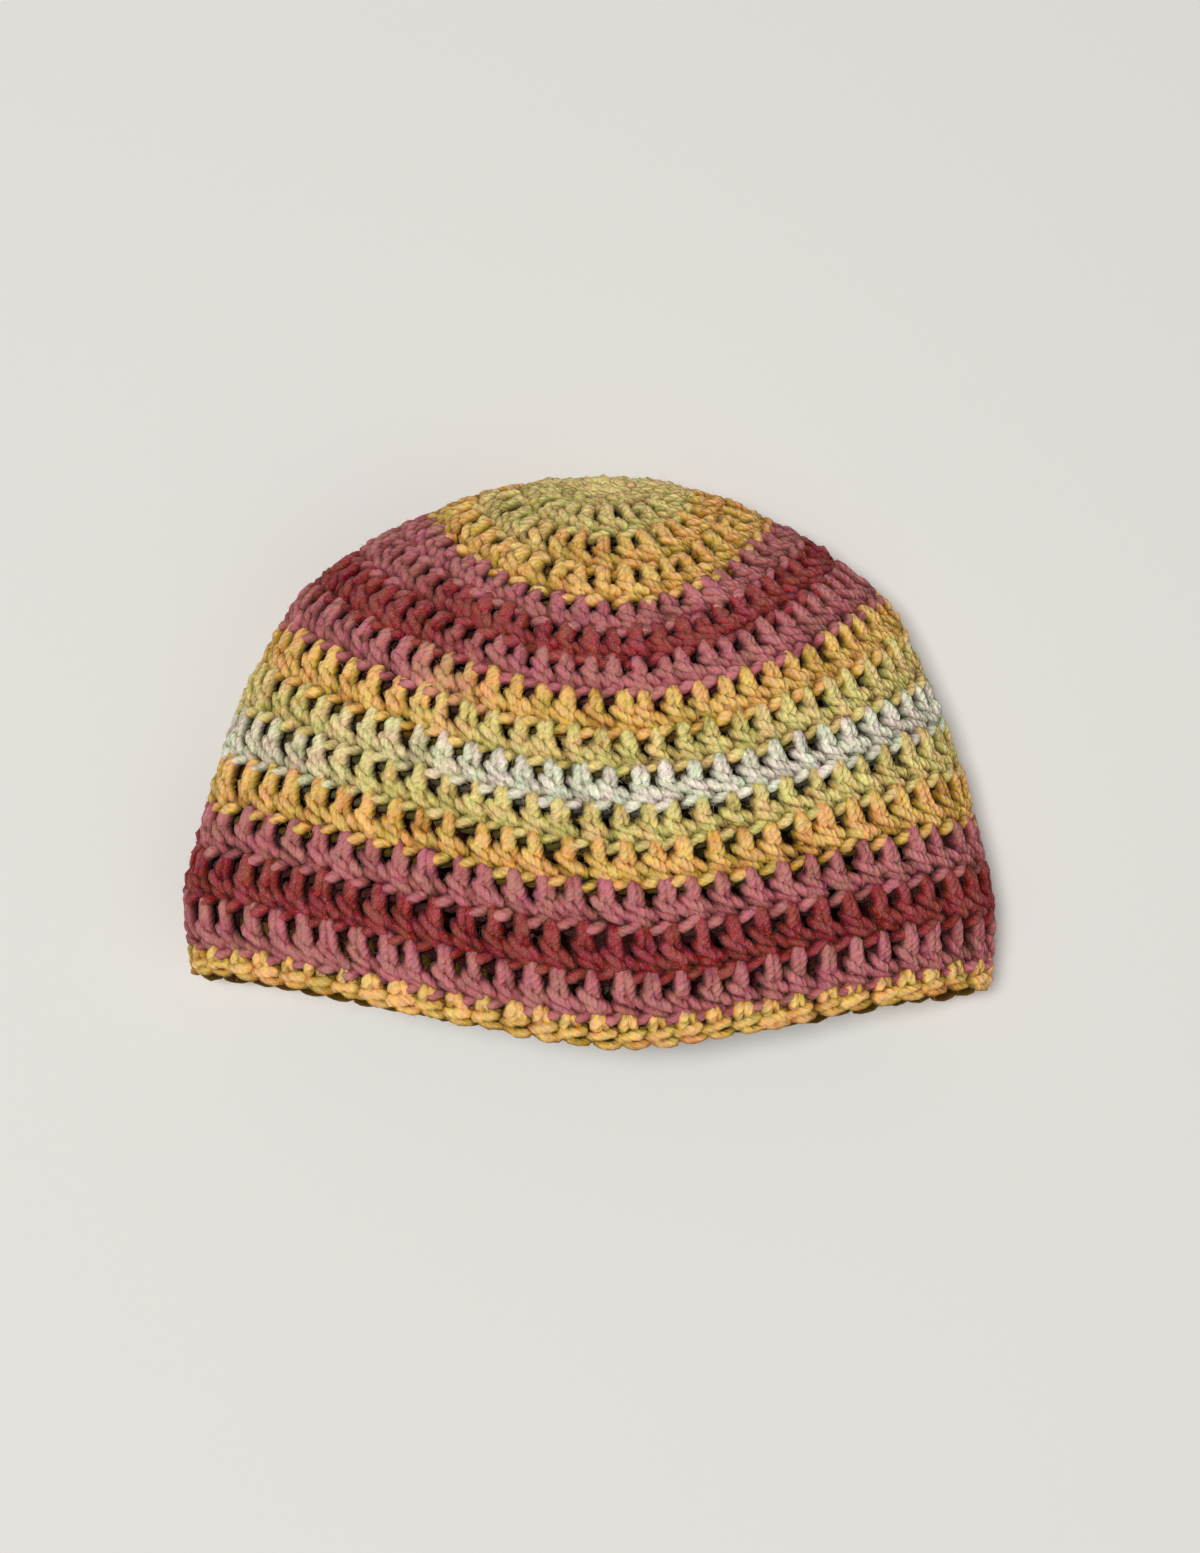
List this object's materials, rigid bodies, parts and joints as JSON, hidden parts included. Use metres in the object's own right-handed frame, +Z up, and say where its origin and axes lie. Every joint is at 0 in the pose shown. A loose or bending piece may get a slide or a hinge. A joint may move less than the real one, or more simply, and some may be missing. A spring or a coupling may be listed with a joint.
{
  "type": "crocheted skull beanie",
  "caption": "Close-fitting crocheted skull beanie in striped yarn, worked in rounds from the crown, lying flat on its back with an open rim.",
  "frame": {"origin": "on the floor, under the middle of the flat-lying hat's box", "axes": "+X across the hat to the right as seen from above, +Y toward the crown, +Z up through the front panel"},
  "size_m": [0.2208, 0.1638, 0.0643],
  "materials": {
    "yarn_yellow_green": "matt worsted yarn, heathered yellow-green",
    "yarn_gold": "matt worsted yarn, heathered gold",
    "yarn_rose": "matt worsted yarn, heathered dusty rose",
    "yarn_red": "matt worsted yarn, heathered dark red",
    "yarn_cream": "matt worsted yarn, cream with a hint of green"
  },
  "bodies": {
    "root": {"round_01": "yarn_yellow_green", "round_02": "yarn_yellow_green", "round_03": "yarn_gold", "round_04": "yarn_gold", "round_05": "yarn_rose", "round_06": "yarn_red", "round_07": "yarn_rose", "round_08": "yarn_gold", "round_09": "yarn_yellow_green", "round_10": "yarn_cream", "round_11": "yarn_yellow_green", "round_12": "yarn_gold", "round_13": "yarn_rose", "round_14": "yarn_red", "round_15": "yarn_rose", "edge_round": "yarn_gold"}
  },
  "joints": []
}
